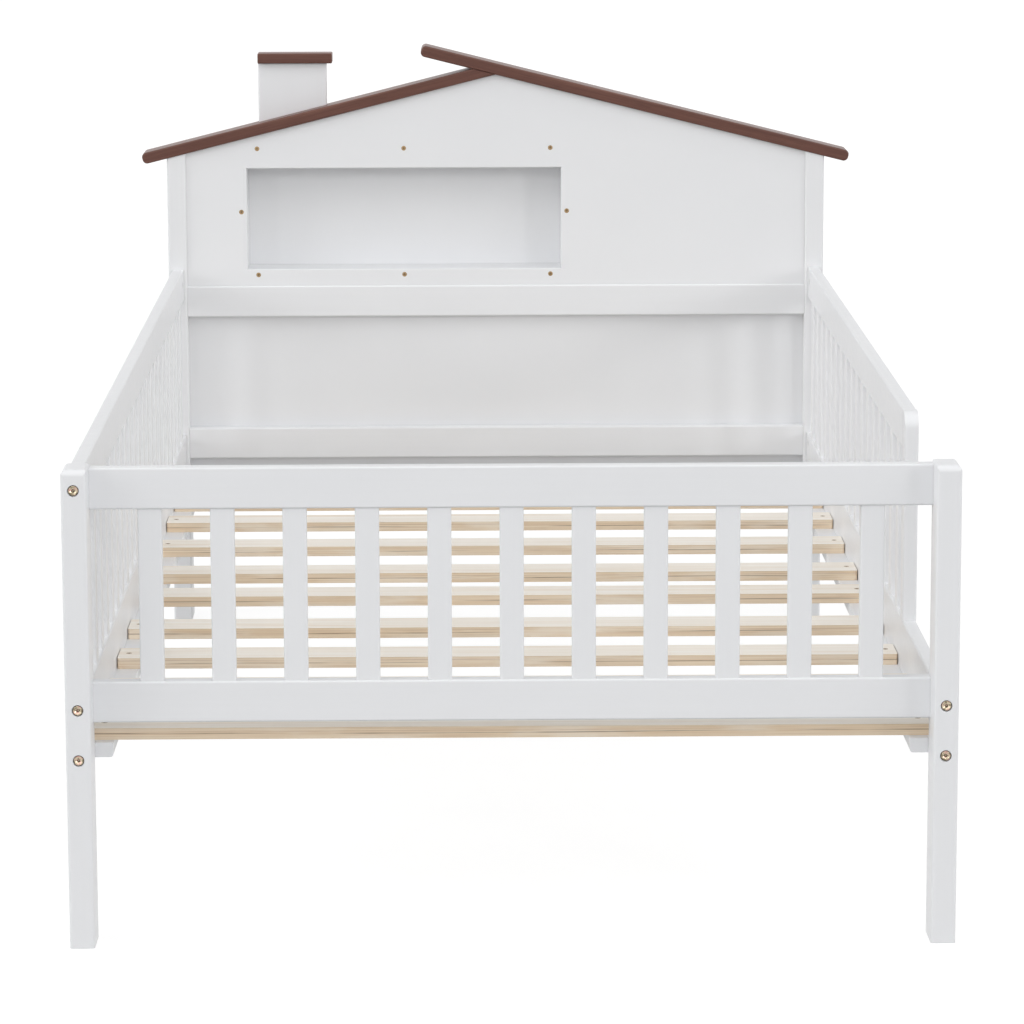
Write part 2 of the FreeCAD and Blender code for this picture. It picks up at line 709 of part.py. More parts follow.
def guard_top_rail(side):
    start = POST_DEPTH if side == LEFT else end_post_back
    x_range = about(side * post_centre_x, GUARD_RAIL_THICKNESS)
    rail = box(x_range, (start, head_front), (guard_rail_base, top_rail_top))
    rail = rounded_along(rail, Y_AXIS, RAIL_EDGE_RADIUS)
    bolts = [head_bolts(side)[-1]]
    if side == LEFT:
        bolts.append(foot_bolts(side)[-1])
    rail = bolted(rail, bolts, side, GUARD_RAIL_THICKNESS)
    dowels = upright_dowels(guard_picket_points(side), guard_rail_base)
    if side == RIGHT:
        dowels += end_post_rail_dowels()
    return bored(rail, dowels)


def guard_end_post():
    x_range = about(post_centre_x, GUARD_RAIL_THICKNESS)
    post = box(x_range, (end_post_front, end_post_back), (side_rail_top, top_rail_top))
    front_top = [edge for edge in edges_along(post, X_AXIS)
                 if edge.CenterOfMass.z > top_rail_top - SAME_PLACE
                 and edge.CenterOfMass.y < end_post_front + SAME_PLACE]
    outline = rounded_along(post, Z_AXIS, END_POST_EDGE_RADIUS)
    post = post.makeFillet(END_POST_CORNER_RADIUS, front_top).common(outline)
    return bored(post, end_post_rail_dowels() + upright_dowels(end_post_points(), side_rail_top))


def side_rail(side):
    x_range = about(side * post_centre_x, SIDE_RAIL_THICKNESS)
    rail = box(x_range, (POST_DEPTH, head_front), (SIDE_RAIL_BASE, side_rail_top))
    rail = rounded_along(rail, Y_AXIS, RAIL_EDGE_RADIUS)
    bolts = foot_bolts(side)[:2] + head_bolts(side)[:2]
    rail = bolted(rail, bolts, side, SIDE_RAIL_THICKNESS)
    points = guard_picket_points(side)
    if side == RIGHT:
        points = points + end_post_points()
    rail = bored(rail, upright_dowels(points, side_rail_top))
    return screwed(rail, cleat_screws(side))


def guards():
    pattern = picket(side_rail_top, guard_rail_base, False)
    dowels = []
    for side, name in ((LEFT, "left"), (RIGHT, "right")):
        export(f"side_rail_{name}", [side_rail(side)])
        export(f"{name}_guard_top_rail", [guard_top_rail(side)])
        export(f"{name}_guard_pickets", copies(pattern, guard_picket_points(side)))
        dowels += upright_dowels(guard_picket_points(side), side_rail_top)
        dowels += upright_dowels(guard_picket_points(side), guard_rail_base)
    export("right_guard_end_post", [guard_end_post()])
    return dowels + upright_dowels(end_post_points(), side_rail_top)


# ---- cleats and slats
def slat_cleat(side):
    x_range = side_range(side, side_rail_inner - CLEAT_WIDTH, side_rail_inner)
    cleat = box(x_range, (POST_DEPTH, head_front), (cleat_base, slat_base))
    inner_face = side * (side_rail_inner - CLEAT_WIDTH)
    lower_edge = [edge for edge in edges_along(cleat, Y_AXIS)
                  if abs(edge.CenterOfMass.x - inner_face) < SAME_PLACE
                  and edge.CenterOfMass.z < cleat_base + SAME_PLACE]
    cleat = screwed(cleat.makeFillet(CLEAT_EDGE_RADIUS, lower_edge), cleat_screws(side))
    own_screws = []
    for index in range(SLAT_COUNT):
        own_screws += [screw for screw in slat_screws(index) if screw[0].x * side > 0]
    return screwed(cleat, own_screws)


def slat(index):
    front = slat_front(index)
    board = box((-slat_half_length, slat_half_length), (front, front + SLAT_WIDTH), (slat_base, slat_top))
    board = rounded_along(board, Z_AXIS, SLAT_CORNER_RADIUS)
    return screwed(board, slat_screws(index))


def bed_base():
    export("slat_cleat_left", [slat_cleat(LEFT)])
    export("slat_cleat_right", [slat_cleat(RIGHT)])
    screws = []
    for index in range(SLAT_COUNT):
        export(f"slat_{index + 1:02d}", [slat(index)])
        screws += slat_screws(index)
    export("slat_screws", screw_solids(screws))
    export("cleat_screws", screw_solids(cleat_screws(LEFT) + cleat_screws(RIGHT)))


# ---- headboard
def head_rail_dowels(side):
    low = cross_rail_dowels(side, head_rail_centre_y, HEAD_LOW_RAIL_BASE, HEAD_RAIL_HEIGHT)
    return low + cross_rail_dowels(side, head_rail_centre_y, mid_rail_base, HEAD_RAIL_HEIGHT)


def head_post(side):
    """A head post, cut to the roof's slope and grooved for the two panels."""
    inner = side * half_inner
    outer = side * (half_inner + POST_WIDTH)
    outline = [FreeCAD.Vector(inner, head_front, 0), FreeCAD.Vector(outer, head_front, 0),
               FreeCAD.Vector(outer, head_front, underside_height(outer)),
               FreeCAD.Vector(inner, head_front, underside_height(inner))]
    face = Part.Face(Part.makePolygon(outline + outline[:1]))
    post = rounded_along(face.extrude(Y_AXIS * POST_DEPTH), Z_AXIS, POST_EDGE_RADIUS)
    groove_x = side_range(side, half_inner, groove_bottom)
    upper_y = (house_panel_front - PANEL_CLEARANCE, house_panel_back + PANEL_CLEARANCE)
    lower_y = (head_rail_back, lower_panel_back + PANEL_CLEARANCE)
    upper_groove = box(groove_x, upper_y, (mid_rail_top, ridge_height))
    lower_groove = box(groove_x, lower_y, (lower_panel_base, lower_panel_top + PANEL_CLEARANCE))
    holes = [bolt_hole(bolt) for bolt in head_bolts(side)]
    post = post.cut(Part.makeCompound([upper_groove]))
    post = post.cut(Part.makeCompound([lower_groove]))
    post = post.cut(Part.makeCompound(holes))
    return bored(post, head_rail_dowels(side) + [post_roof_dowel(side)])


def head_rail(base, back_screws):
    y_range = (head_rail_front, head_rail_back)
    rail = box((-half_inner, half_inner), y_range, (base, base + HEAD_RAIL_HEIGHT))
    front_edges = [edge for edge in edges_along(rail, X_AXIS)
                   if edge.CenterOfMass.y < head_rail_front + SAME_PLACE]
    rail = rail.makeFillet(RAIL_EDGE_RADIUS, front_edges)
    dowels = []
    for side in (LEFT, RIGHT):
        dowels += cross_rail_dowels(side, head_rail_centre_y, base, HEAD_RAIL_HEIGHT)
    return screwed(bored(rail, dowels), back_screws)


def lower_panel():
    y_range = (head_rail_back, lower_panel_back)
    panel = box((-panel_half_width, panel_half_width), y_range, (lower_panel_base, lower_panel_top))
    return screwed(panel, mid_rail_back_screws() + low_rail_back_screws())


def house_panel():
    """The house-shaped board with its window."""
    edge_height = underside_height(panel_half_width)
    outline = [(-panel_half_width, mid_rail_top), (panel_half_width, mid_rail_top),
               (panel_half_width, edge_height), (0, ridge_height), (-panel_half_width, edge_height)]
    points = [FreeCAD.Vector(x, house_panel_front, z) for x, z in outline]
    panel = Part.Face(Part.makePolygon(points + points[:1])).extrude(Y_AXIS * HOUSE_PANEL_THICKNESS)
    panel = panel.cut(box((window_left, window_right), (house_panel_front, house_panel_back),
                          (window_base, window_top)))
    rim = [edge for edge in panel.Edges if on_window_rim(edge.CenterOfMass)]
    panel = panel.makeFillet(WINDOW_EDGE_RADIUS, rim)
    panel = screwed(panel, all_niche_screws())
    dowels = panel_roof_dowels(LEFT) + panel_roof_dowels(RIGHT) + panel_foot_dowels()
    return bored(panel, dowels)


def on_window_rim(point):
    """True for the middle of an edge around the window, on the panel's face."""
    inside_x = window_left - SAME_PLACE < point.x < window_right + SAME_PLACE
    inside_z = window_base - SAME_PLACE < point.z < window_top + SAME_PLACE
    return inside_x and inside_z and abs(point.y - house_panel_front) < SAME_PLACE


def all_niche_screws():
    screws = niche_bottom_screws() + niche_top_screws()
    return screws + [niche_side_screw(LEFT), niche_side_screw(RIGHT)]


def niche_level_board(base, front_screws, back_screws):
    """The niche's bottom or top board, between the side boards."""
    board = box((window_left, window_right), (house_panel_back, niche_boards_back),
                (base, base + NICHE_BOARD_THICKNESS))
    board = bored(board, niche_dowels(LEFT) + niche_dowels(RIGHT))
    return screwed(screwed(board, front_screws), back_screws)


def niche_side_board(side):
    x_centre = window_centre + side * (WINDOW_WIDTH + NICHE_BOARD_THICKNESS) / 2
    board = box(about(x_centre, NICHE_BOARD_THICKNESS), (house_panel_back, niche_boards_back),
                (niche_base, niche_top))
    return screwed(bored(board, niche_dowels(side)), [niche_side_screw(side)])


def niche():
    bottom_back = niche_back_screws(niche_bottom_centre)
    top_back = niche_back_screws(niche_top_centre)
    back = box((niche_left, niche_right), (niche_boards_back, niche_back), (niche_base, niche_top))
    export("niche_bottom", [niche_level_board(niche_base, niche_bottom_screws(), bottom_back)])
    export("niche_top", [niche_level_board(niche_ceiling, niche_top_screws(), top_back)])
    export("niche_side_left", [niche_side_board(LEFT)])
    export("niche_side_right", [niche_side_board(RIGHT)])
    export("niche_back", [screwed(back, bottom_back + top_back)])
    export("niche_screws", screw_solids(all_niche_screws()))
    export("niche_dowels", [dowel_solid(dowel) for dowel in niche_dowels(LEFT) + niche_dowels(RIGHT)])
    return bottom_back + top_back


def roof_board(side, upper_end):
    """A roof board from upper_end to the eave, both counted down the slope from the ridge."""
    board = Part.makeBox(EAVE_REACH - upper_end, roof_back - roof_front, ROOF_THICKNESS)
    ends = edges_along(board, Y_AXIS)
    board = board.makeFillet(ROOF_END_RADIUS, ends)
    board = board.makeFillet(ROOF_EDGE_RADIUS, edges_along(board, X_AXIS))
    board.translate(FreeCAD.Vector(upper_end, 0, 0))
    board.rotate(FreeCAD.Vector(), Y_AXIS, ROOF_SLOPE)
    if side == LEFT:
        board = board.mirror(FreeCAD.Vector(), X_AXIS)
    board.translate(FreeCAD.Vector(0, roof_front, ridge_height))
    return board


def roof():
    right = roof_board(RIGHT, -RIDGE_LAP)
    left = roof_board(LEFT, -RIDGE_LAP)
    above_right = Part.makeBox(EAVE_REACH + RIDGE_LAP, roof_back - roof_front, RIDGE_LAP)
    above_right.translate(FreeCAD.Vector(-RIDGE_LAP, 0, 0))
    above_right.rotate(FreeCAD.Vector(), Y_AXIS, ROOF_SLOPE)
    above_right.translate(FreeCAD.Vector(0, roof_front, ridge_height))
    left = left.cut(above_right)
    left = bored(left, panel_roof_dowels(LEFT) + [post_roof_dowel(LEFT)] + chimney_dowels())
    right = bored(right, panel_roof_dowels(RIGHT) + [post_roof_dowel(RIGHT)])
    export("roof_board_left", [left])
    export("roof_board_right", [right])


def chimney():
    x_range = about(chimney_centre, CHIMNEY_WIDTH)
    y = chimney_back - CHIMNEY_THICKNESS
    outline = [FreeCAD.Vector(x_range[0], y, underside_height(x_range[0]) + roof_rise),
               FreeCAD.Vector(x_range[1], y, underside_height(x_range[1]) + roof_rise),
               FreeCAD.Vector(x_range[1], y, chimney_top),
               FreeCAD.Vector(x_range[0], y, chimney_top)]
    board = Part.Face(Part.makePolygon(outline + outline[:1])).extrude(Y_AXIS * CHIMNEY_THICKNESS)
    board = rounded_along(board, Z_AXIS, CHIMNEY_EDGE_RADIUS)
    cap_x = about(chimney_centre + CAP_SHIFT, CAP_WIDTH)
    cap = box(cap_x, about(chimney_centre_y, CAP_DEPTH), (chimney_top, chimney_top + CAP_THICKNESS))
    cap = cap.makeFillet(CAP_EDGE_RADIUS, cap.Edges)
    export("chimney", [bored(board, chimney_dowels() + cap_dowels())])
    export("chimney_cap", [bored(cap, cap_dowels())])


def headboard():
    export("head_post_left", [head_post(LEFT)])
    export("head_post_right", [head_post(RIGHT)])
    mid_rail = head_rail(mid_rail_base, mid_rail_back_screws())
    export("head_mid_rail", [bored(mid_rail, panel_foot_dowels())])
    export("head_low_rail", [head_rail(HEAD_LOW_RAIL_BASE, low_rail_back_screws())])
    export("head_lower_panel", [lower_panel()])
    export("house_panel", [house_panel()])
    back_screws = niche() + mid_rail_back_screws() + low_rail_back_screws()
    export("back_screws", screw_solids(back_screws))
    roof()
    chimney()
    dowels = panel_foot_dowels() + chimney_dowels() + cap_dowels()
    for side in (LEFT, RIGHT):
        dowels += panel_roof_dowels(side) + [post_roof_dowel(side)]
    export("headboard_dowels", [dowel_solid(dowel) for dowel in dowels])


def fasteners(picket_dowels):
    export("frame_bolts", [bolt_solid(bolt) for bolt in all_bolts()])
    export("barrel_nuts", [nut_solid(bolt) for bolt in all_bolts()])
    rail_dowels = end_post_rail_dowels()
    for side in (LEFT, RIGHT):
        rail_dowels += foot_rail_dowels(side) + head_rail_dowels(side)
    export("rail_dowels", [dowel_solid(dowel) for dowel in rail_dowels])
    export("picket_dowels", [dowel_solid(dowel) for dowel in picket_dowels])


os.makedirs("parts", exist_ok=True)
upright = foot_end()
upright += guards()
bed_base()
headboard()
fasteners(upright)
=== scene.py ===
import math

import bpy
from mathutils import Matrix, Vector


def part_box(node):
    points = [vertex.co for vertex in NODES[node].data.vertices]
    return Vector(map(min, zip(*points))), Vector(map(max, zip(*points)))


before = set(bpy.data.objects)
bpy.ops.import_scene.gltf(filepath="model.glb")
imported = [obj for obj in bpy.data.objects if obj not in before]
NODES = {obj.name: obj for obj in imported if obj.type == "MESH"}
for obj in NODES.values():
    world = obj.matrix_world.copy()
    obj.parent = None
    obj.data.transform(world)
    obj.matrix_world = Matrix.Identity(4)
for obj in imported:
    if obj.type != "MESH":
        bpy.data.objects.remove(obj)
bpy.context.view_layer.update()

# ---------------------------------------------------------------- materials
# Every object sits at the origin, so object coordinates are metres in the bed's own frame.


class Graph:
    """A node tree, with short calls to add nodes and links."""

    def __init__(self, owner):
        owner.use_nodes = True
        self.owner = owner
        self.tree = owner.node_tree
        self.tree.nodes.clear()

    def link(self, value, socket):
        """Sets a socket to a number, a colour or another node's output."""
        if isinstance(value, bpy.types.NodeSocket):
            self.tree.links.new(value, socket)
        else:
            socket.default_value = value

    def node(self, kind, inputs=None, **settings):
        made = self.tree.nodes.new(kind)
        for key, value in settings.items():
            setattr(made, key, value)
        for key, value in (inputs or {}).items():
            self.link(value, made.inputs[key])
        return made

    def coords(self, scale=(1, 1, 1), rotation=(0, 0, 0), shift=(0, 0, 0)):
        """Object coordinates turned, then scaled, so that a texture stretches along a board."""
        source = self.node("ShaderNodeTexCoord").outputs["Object"]
        turned = self.node("ShaderNodeMapping", {"Vector": source, "Rotation": rotation, "Location": shift})
        return self.node("ShaderNodeMapping", {"Vector": turned.outputs[0], "Scale": scale}).outputs[0]

    def noise(self, vector, scale=1.0, detail=3.0, roughness=0.5, distortion=0.0):
        made = self.node("ShaderNodeTexNoise", {"Vector": vector, "Scale": scale, "Detail": detail,
                                                "Roughness": roughness, "Distortion": distortion})
        return made.outputs["Fac"]

    def ramp(self, value, stops):
        """A colour ramp from (place, colour) pairs."""
        made = self.node("ShaderNodeValToRGB", {"Fac": value})
        elements = made.color_ramp.elements
        while len(elements) < len(stops):
            elements.new(0.5)
        for element, (place, colour) in zip(elements, stops):
            element.position = place
            element.color = (*colour, 1.0)
        return made.outputs["Color"]

    def spread(self, value, low, high, source=(0.3, 0.7)):
        """A texture's value mapped to a range."""
        made = self.node("ShaderNodeMapRange", {"Value": value, "From Min": source[0], "From Max": source[1],
                                                "To Min": low, "To Max": high})
        return made.outputs["Result"]

    def math(self, operation, first, second=0.0):
        made = self.node("ShaderNodeMath", operation=operation)
        self.link(first, made.inputs[0])
        self.link(second, made.inputs[1])
        return made.outputs[0]

    def mix(self, factor, first, second):
        made = self.node("ShaderNodeMix", data_type="RGBA")
        self.link(factor, made.inputs["Factor"])
        self.link(first if isinstance(first, bpy.types.NodeSocket) else (*first, 1.0), made.inputs["A"])
        self.link(second if isinstance(second, bpy.types.NodeSocket) else (*second, 1.0), made.inputs["B"])
        return made.outputs["Result"]

    def bump(self, height, strength, distance, normal=None):
        made = self.node("ShaderNodeBump", {"Height": height, "Strength": strength, "Distance": distance})
        if normal is not None:
            self.link(normal, made.inputs["Normal"])
        return made.outputs["Normal"]

    def finish(self, shader, output="ShaderNodeOutputMaterial"):
        self.tree.links.new(shader.outputs[0], self.node(output).inputs["Surface"])
        return self.owner

    def surface(self, **inputs):
        """The finished surface: a Principled shader with these inputs."""
        named = {key.replace("_", " "): value for key, value in inputs.items()}
        return self.finish(self.node("ShaderNodeBsdfPrincipled", named))


def new_graph(name):
    return Graph(bpy.data.materials.new(name))


AXES = {"x": 0, "y": 1, "z": 2}
GRAIN_PER_METRE = 240.0        # fine growth lines across a board
ALONG_PER_METRE = 5.0          # how slowly they change along it
CORNER_SHADE_REACH = 0.0025            # metres over which painted shade darkens a surface beside a corner, such as a joint or a seat


def along_grain(axis):
    """Texture scales for a board whose grain runs along this axis."""
    scale = [GRAIN_PER_METRE] * 3
    scale[AXES[axis]] = ALONG_PER_METRE
    return tuple(scale)


def painted_corner_shade(g, depth):
    """A mixing factor for painted shade: it rises to depth where ambient occlusion finds a corner, such as a
    joint, a screw seat or a bolt seat.
    """
    corner = g.node("ShaderNodeAmbientOcclusion", {"Distance": CORNER_SHADE_REACH}, samples=4)
    return g.spread(corner.outputs["AO"], depth, 0.0, (0.45, 0.95))


PAINT_TONES = ((0.768, 0.776, 0.793), (0.786, 0.793, 0.808))
PAINT_OVER_GRAIN = (0.748, 0.755, 0.766)
# Painted shade: the grey that the paint is darkened to in corners, joints and seats, where occlusion finds
# them.
CORNER_SHADE_TONE = (0.42, 0.41, 0.40)
CORNER_SHADE_DEPTH = 0.22             # how far the painted shade in a corner takes the paint towards that tone


def white_paint(name, grain=None, joints=CORNER_SHADE_DEPTH):
    """Satin white paint: a fine sprayed skin over wood grain, or over smooth board where grain is None."""
    g = new_graph(name)
    flat = g.coords()
    patches = g.noise(flat, 4.0, detail=2.0)
    fine = g.noise(flat, 90.0)
    colour = g.ramp(patches, list(zip((0.30, 0.70), PAINT_TONES)))
    skin = g.noise(flat, 620.0, detail=2.0)
    normal = g.bump(skin, 0.06, 0.0004)
    if grain:
        lines = g.noise(g.coords(along_grain(grain)), detail=4.0, roughness=0.6)
        normal = g.bump(lines, 0.05, 0.0008, normal)
        colour = g.mix(g.spread(lines, 0.0, 0.22), colour, PAINT_OVER_GRAIN)
    # Painted shade in corners, joints and seats.
    if joints:
        colour = g.mix(painted_corner_shade(g, joints), colour, CORNER_SHADE_TONE)
    return g.surface(Base_Color=colour, Roughness=g.spread(fine, 0.32, 0.44), IOR=1.45, Normal=normal)


def walnut_stain(name, tilt):
    """Dark brown stain under satin lacquer, with the grain along a board that is turned by tilt about Y."""
    g = new_graph(name)
    turn = (0, tilt, 0)
    grain = g.noise(g.coords((7.0, 330.0, 330.0), turn), detail=5.0, roughness=0.62)
    bands = g.noise(g.coords((2.5, 60.0, 60.0), turn, (0.3, 0.1, 0.0)), distortion=0.6)
    pores = g.noise(g.coords((22.0, 900.0, 900.0), turn), detail=2.0)
    colour = g.ramp(bands, [(0.30, (0.108, 0.040, 0.027)), (0.70, (0.158, 0.066, 0.046))])
    colour = g.mix(g.spread(grain, 0.0, 0.70), colour, (0.072, 0.024, 0.016))
    colour = g.mix(g.spread(pores, 0.0, 0.55, (0.56, 0.75)), colour, (0.035, 0.012, 0.008))
    normal = g.bump(grain, 0.25, 0.0006, g.bump(pores, 0.15, 0.0003))
    return g.surface(Base_Color=colour, Roughness=g.spread(grain, 0.30, 0.44), Specular_IOR_Level=0.40,
                     Normal=normal)


# Laminated softwood: thin plies seen on a slat's long sides, one pale veneer on its top and bottom.
SLAT_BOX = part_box("slat_01")
SLAT_MIDDLE = (SLAT_BOX[0].z + SLAT_BOX[1].z) / 2
PLY_THICKNESS = 0.0024
SLAT_RIM = (0.0055, 0.0070)    # metres above and below the middle, between which the sides darken
LINE_WANDER = 0.006            # metres; a glue line strays by up to half of it either way

# Each glue line is (shift of its noise, metres above the middle, metres wide, strength, tone).
GLUE_LINES = ((0.37, 0.0000, 0.0009, 0.80, (0.150, 0.070, 0.035)),
              (4.10, 0.0030, 0.0007, 0.35, (0.300, 0.150, 0.080)))


def dark_line(g, place, shift, height, width):
    """A thin glue line that wanders along a slat's side and fades in and out; 1 on the line, 0 off it."""
    wander = g.noise(g.coords((2.0, 9.0, 0.0), shift=(shift, shift, 0.0)), detail=4.0)
    line = g.math("ADD", g.math("MULTIPLY", wander, LINE_WANDER), SLAT_MIDDLE + height - LINE_WANDER / 2)
    away = g.math("ABSOLUTE", g.math("SUBTRACT", place.outputs["Z"], line))
    near = g.spread(away, 1.0, 0.0, (0.0, width))
    present = g.noise(g.coords((5.0, 7.0, 0.0), shift=(0.0, shift, 0.0)), detail=4.0)
    return g.math("MULTIPLY", near, g.spread(present, 0.0, 1.0, (0.44, 0.58)))


def slat_wood(name):
    """Pale veneer on the flat faces; plies, fibres and glue lines on the long sides."""
    g = new_graph(name)
    place = g.node("ShaderNodeSeparateXYZ", {"Vector": g.coords()})
    normal_z = g.node("ShaderNodeSeparateXYZ", {"Vector": g.node("ShaderNodeNewGeometry").outputs["Normal"]})
    flat_face = g.spread(g.math("ABSOLUTE", normal_z.outputs["Z"]), 0.0, 1.0, (0.5, 0.8))
    veneer = g.noise(g.coords((3.0, 120.0, 40.0)), detail=5.0, roughness=0.6, distortion=0.4)
    streaks = g.noise(g.coords((1.6, 34.0, 34.0), shift=(0.7, 0.2, 0.1)), distortion=0.8)
    top = g.ramp(veneer, [(0.30, (0.855, 0.785, 0.685)), (0.50, (0.890, 0.838, 0.760)),
                          (0.70, (0.905, 0.870, 0.810))])
    top = g.mix(g.spread(streaks, 0.0, 0.55, (0.52, 0.72)), top, (0.780, 0.660, 0.520))
    # Each slat is of its own tree: its tone changes with its place along the bed.
    tree = g.noise(g.coords((0.4, 6.0, 0.0)), detail=1.0)
    edge = g.ramp(tree, [(0.35, (0.820, 0.660, 0.465)), (0.65, (0.885, 0.745, 0.570))])
    depth = g.math("DIVIDE", place.outputs["Z"], PLY_THICKNESS)
    ply = g.node("ShaderNodeCombineXYZ", {"X": g.math("MULTIPLY", place.outputs["X"], 2.2), "Z": depth,
                                          "Y": g.math("MULTIPLY", place.outputs["Y"], 9.0)})
    layers = g.noise(ply.outputs[0], 0.9, detail=2.0)
    edge = g.mix(g.spread(layers, 0.0, 0.65, (0.48, 0.68)), edge, (0.900, 0.805, 0.665))
    edge = g.mix(g.spread(layers, 0.45, 0.0, (0.28, 0.46)), edge, (0.680, 0.500, 0.330))
    fibres = g.noise(g.coords((7.0, 500.0, 900.0)), detail=4.0, roughness=0.6)
    edge = g.mix(g.spread(fibres, 0.0, 0.55, (0.35, 0.65)), edge, (0.640, 0.455, 0.300))
    pale = g.noise(g.coords((9.0, 5.0, 60.0), shift=(0.2, 0.6, 0.0)), detail=4.0)
    edge = g.mix(g.spread(pale, 0.0, 0.55, (0.50, 0.66)), edge, (0.920, 0.835, 0.710))
    rim = g.math("ABSOLUTE", g.math("SUBTRACT", place.outputs["Z"], SLAT_MIDDLE))
    edge = g.mix(g.spread(rim, 0.0, 0.35, SLAT_RIM), edge, (0.620, 0.470, 0.315))
    for shift, height, width, strength, tone in GLUE_LINES:
        line = g.math("MULTIPLY", dark_line(g, place, shift, height, width), strength)
        edge = g.mix(line, edge, tone)
    colour = g.mix(flat_face, edge, top)
    normal = g.bump(veneer, 0.20, 0.0005, g.bump(fibres, 0.30, 0.0004))
    return g.surface(Base_Color=colour, Roughness=g.spread(fibres, 0.55, 0.75), Normal=normal)


TINT_PLACES = (0.38, 0.48, 0.58)   # where along the noise's values each of a head's three tints sits


def yellow_zinc(name, tints, patch, roughness):
    """Yellow zinc plate: its tint shifts in patches over each head, and painted shade darkens its recess."""
    g = new_graph(name)
    flat = g.coords()
    tint = g.noise(flat, patch, detail=2.0)
    marks = g.noise(flat, 1800.0, detail=2.0)
    colour = g.ramp(tint, list(zip(TINT_PLACES, tints)))
    # Painted shade: the socket and the seat's rim go near black where occlusion finds them.
    colour = g.mix(painted_corner_shade(g, 0.9), colour, (0.060, 0.045, 0.030))
    rough = g.spread(marks, roughness - 0.06, roughness + 0.10)
    return g.surface(Base_Color=colour, Metallic=1.0, Roughness=rough, Normal=g.bump(marks, 0.25, 0.0002))


def beech(name):
    """Bare beech with short flecks along the dowel."""
    g = new_graph(name)
    flecks = g.noise(g.coords((60.0, 400.0, 400.0)), detail=4.0)
    colour = g.ramp(flecks, [(0.30, (0.520, 0.350, 0.200)), (0.70, (0.640, 0.470, 0.300))])
    normal = g.bump(flecks, 0.2, 0.0003)
    return g.surface(Base_Color=colour, Roughness=g.spread(flecks, 0.55, 0.75), Normal=normal)


ROOF_TILT = math.radians(14.1)
PAINT = {axis: white_paint("white_paint_" + (axis or "board"), axis) for axis in ("x", "y", "z", None)}
SMOOTH_PAINT = white_paint("white_paint_smooth", joints=0.0)
WALNUT = {side: walnut_stain("walnut_" + side, tilt)
          for side, tilt in (("left", ROOF_TILT), ("right", -ROOF_TILT), ("level", 0.0))}
SLAT = slat_wood("slat_softwood")
BOLT_TINTS = ((0.22, 0.18, 0.12), (0.62, 0.55, 0.40), (0.54, 0.33, 0.28))
SCREW_TINTS = ((0.24, 0.16, 0.08), (0.50, 0.36, 0.18), (0.40, 0.25, 0.14))
BOLT = yellow_zinc("bolt_yellow_zinc", BOLT_TINTS, patch=330.0, roughness=0.26)
SCREW = yellow_zinc("screw_yellow_zinc", SCREW_TINTS, patch=500.0, roughness=0.34)
DOWEL = beech("dowel_beech_wood")

GRAIN_X = ("foot_top_rail", "foot_low_rail", "head_mid_rail", "head_low_rail", "niche_bottom", "niche_top")
GRAIN_Y = ("left_guard_top_rail", "right_guard_top_rail", "side_rail", "slat_cleat")
GRAIN_Z = ("foot_post", "head_post", "foot_picket", "right_guard_end_post", "niche_side", "chimney")


def material_for(node):
    if node.removeprefix("slat_").isdigit():
        return SLAT
    if node.startswith("roof_board_"):
        return WALNUT[node.removeprefix("roof_board_")]
    if node == "chimney_cap":
        return WALNUT["level"]
    if node.endswith("_screws"):
        return SCREW
    if node.endswith("_dowels"):
        return DOWEL
    if node in ("frame_bolts", "barrel_nuts"):
        return BOLT
    if node.endswith("_guard_pickets"):
        return SMOOTH_PAINT
    for axis, names in (("x", GRAIN_X), ("y", GRAIN_Y), ("z", GRAIN_Z)):
        if node.startswith(names):
            return PAINT[axis]
    return PAINT[None]


for name, piece in NODES.items():
    piece.data.materials.clear()
    piece.data.materials.append(material_for(name))

# ---------------------------------------------------------------- floor, world and lamps


def seen_directly(g):
    """1 for rays from the camera, from a mirror-like surface or through glass, and 0 for the rest."""
    path = g.node("ShaderNodeLightPath")
    either = g.math("MAXIMUM", path.outputs["Is Camera Ray"], path.outputs["Is Glossy Ray"])
    return g.math("MAXIMUM", either, path.outputs["Is Transmission Ray"])


def grey(level):
    return (level, level, level, 1.0)


def choose(g, first, second):
    """One shader for indirect light, the other for rays that see the surface directly."""
    both = g.node("ShaderNodeMixShader", {"Fac": seen_directly(g)})
    g.tree.links.new(first.outputs[0], both.inputs[1])
    g.tree.links.new(second.outputs[0], both.inputs[2])
    return both


FLOOR_REACH = 80.0             # metres from the middle to each side
FLOOR_BOUNCE = 0.50            # how pale the floor is for the light that it throws back
FLOOR_SHADE = 0.28             # how much of the shadow on it shows
FLOOR_GLOW = 0.80              # how bright it looks where no lamp reaches it


def pale_floor():
    g = new_graph("pale_floor")
    lit = g.node("ShaderNodeBsdfDiffuse", {"Color": grey(FLOOR_BOUNCE)})
    shown = g.node("ShaderNodeAddShader")
    shade = g.node("ShaderNodeBsdfDiffuse", {"Color": grey(FLOOR_SHADE)})
    glow = g.node("ShaderNodeEmission", {"Color": grey(1.0), "Strength": FLOOR_GLOW})
    g.tree.links.new(shade.outputs[0], shown.inputs[0])
    g.tree.links.new(glow.outputs[0], shown.inputs[1])
    return g.finish(choose(g, lit, shown))


mesh = bpy.data.meshes.new("studio_floor")
corners = [(x * FLOOR_REACH, y * FLOOR_REACH, 0) for x, y in ((-1, -1), (1, -1), (1, 1), (-1, 1))]
mesh.from_pydata(corners, [], [(0, 1, 2, 3)])
mesh.materials.append(pale_floor())
floor = bpy.data.objects.new("studio_floor", mesh)
bpy.context.scene.collection.objects.link(floor)

AMBIENT = 0.22                 # light from all around
world = bpy.data.worlds.new("studio")
bpy.context.scene.world = world
g = Graph(world)
around = g.node("ShaderNodeBackground", {"Color": grey(1.0), "Strength": AMBIENT})
backdrop = g.node("ShaderNodeBackground", {"Color": grey(1.0), "Strength": 1.0})
g.finish(choose(g, around, backdrop), "ShaderNodeOutputWorld")

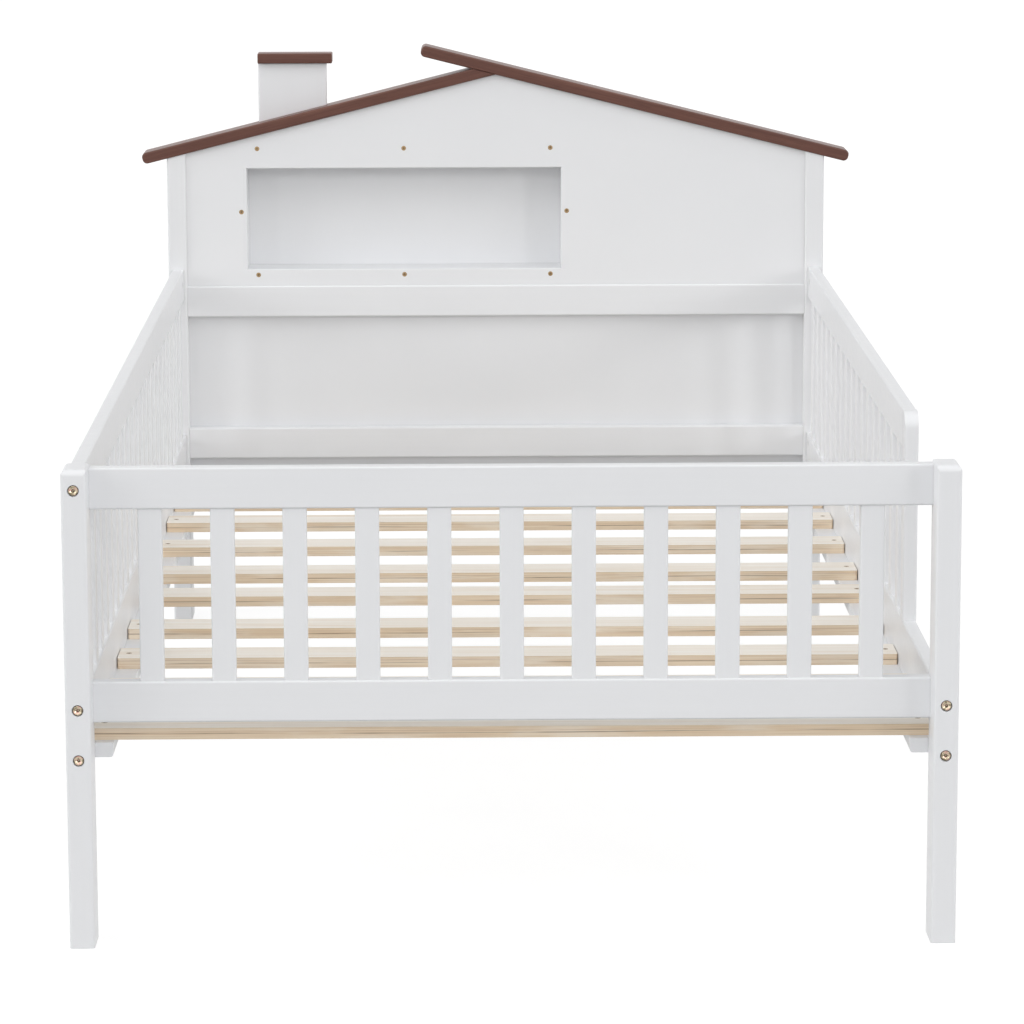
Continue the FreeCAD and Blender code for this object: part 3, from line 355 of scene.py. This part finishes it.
# Soft lamps, far away. Each is (name, degrees to the right of straight before the foot end, degrees above
# the floor, brightness that it gives to a white face turned to it, degrees that it spreads over).
# The fill throws no shadows, like light from all over a wide studio.
LAMPS = (("overhead", 0, 82, 0.200, 90),
         ("left_strip", -37, 12, 0.060, 10),
         ("right_strip", 41, 12, 0.115, 10),
         ("left_side", -75, 22, 0.500, 50),
         ("right_side", 75, 22, 0.368, 50))
FILL = ("fill", 0, 35, 0.226, 60)


def soft_lamp(name, azimuth, elevation, level, spread, shadows=True):
    lamp = bpy.data.lights.new(name, "SUN")
    lamp.energy = level * math.pi
    lamp.use_shadow = shadows
    lamp.angle = math.radians(spread)
    turn = math.radians(azimuth)
    rise = math.radians(elevation)
    towards = Vector((-math.sin(turn) * math.cos(rise), math.cos(turn) * math.cos(rise), -math.sin(rise)))
    thing = bpy.data.objects.new(name, lamp)
    thing.rotation_euler = towards.to_track_quat("-Z", "Y").to_euler()
    bpy.context.scene.collection.objects.link(thing)


for lamp in LAMPS:
    soft_lamp(*lamp)
soft_lamp(*FILL, shadows=False)

# ---------------------------------------------------------------- camera

CAMERA_X = -0.06293
CAMERA_HEIGHT = 1.43116
CAMERA_BEFORE_POSTS = 5.03292  # metres from the foot posts' front faces
YAW = 0.0125                   # radians to the right
PITCH = -0.1773                # radians up
ROLL = -0.0030                 # radians by which the camera's right side is raised
FOCAL_LENGTH = 152.5           # mm
FRAME_WIDTH = 36.0             # mm
VIEW_REACH = 400.0             # metres

forward = Vector((math.sin(YAW) * math.cos(PITCH), math.cos(YAW) * math.cos(PITCH), math.sin(PITCH)))
level = Vector((math.cos(YAW), -math.sin(YAW), 0.0))
above = level.cross(forward)
right = level * math.cos(ROLL) + above * math.sin(ROLL)
up = above * math.cos(ROLL) - level * math.sin(ROLL)
lens = bpy.data.cameras.new("camera")
lens.lens = FOCAL_LENGTH
lens.sensor_width = FRAME_WIDTH
lens.clip_end = VIEW_REACH
camera = bpy.data.objects.new("camera", lens)
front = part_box("foot_post_left")[0].y
turn = Matrix((right, up, -forward)).transposed().to_4x4()
camera.matrix_world = Matrix.Translation((CAMERA_X, front - CAMERA_BEFORE_POSTS, CAMERA_HEIGHT)) @ turn
bpy.context.scene.collection.objects.link(camera)
bpy.context.scene.camera = camera
bpy.context.scene.view_settings.view_transform = "Standard"
